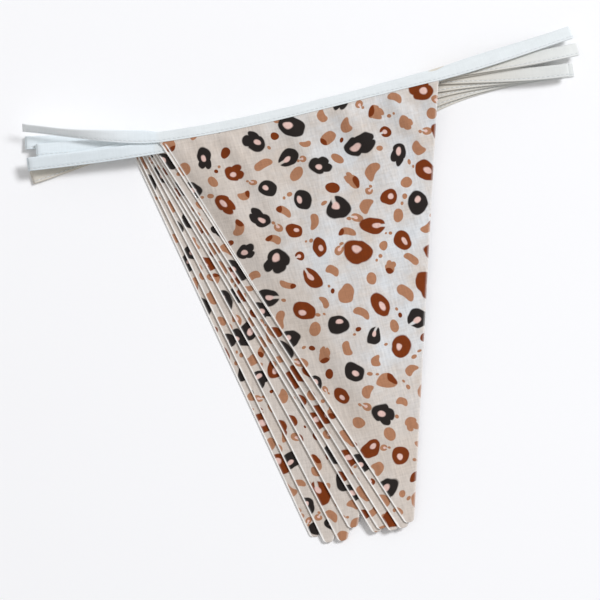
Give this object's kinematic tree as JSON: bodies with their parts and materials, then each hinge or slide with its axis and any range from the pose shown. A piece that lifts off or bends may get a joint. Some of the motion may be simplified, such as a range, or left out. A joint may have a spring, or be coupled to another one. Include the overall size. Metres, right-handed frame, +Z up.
{
  "type": "fabric bunting",
  "caption": "Fabric bunting folded flat for storage: long printed cotton pennants with blunt tips, sewn to one folded binding tape and stacked in a fan.",
  "frame": {"origin": "on the surface that the folded bunting lies on, under the middle of its box", "axes": "+Z up, through the stack; +X along the tape, towards the strands that leave the pennants' right corners; the tips point to -Y"},
  "size_m": [0.391, 0.3638, 0.0234],
  "materials": {
    "printed_cotton": "plain-weave cotton, printed with animal spots",
    "cotton_binding": "white cotton binding, folded and stitched"
  },
  "bodies": {
    "root": {"flag_1": "printed_cotton", "flag_2": "printed_cotton", "flag_3": "printed_cotton", "flag_4": "printed_cotton", "flag_5": "printed_cotton", "flag_6": "printed_cotton", "flag_7": "printed_cotton", "flag_8": "printed_cotton", "flag_9": "printed_cotton", "binding_tape": "cotton_binding"}
  },
  "joints": []
}
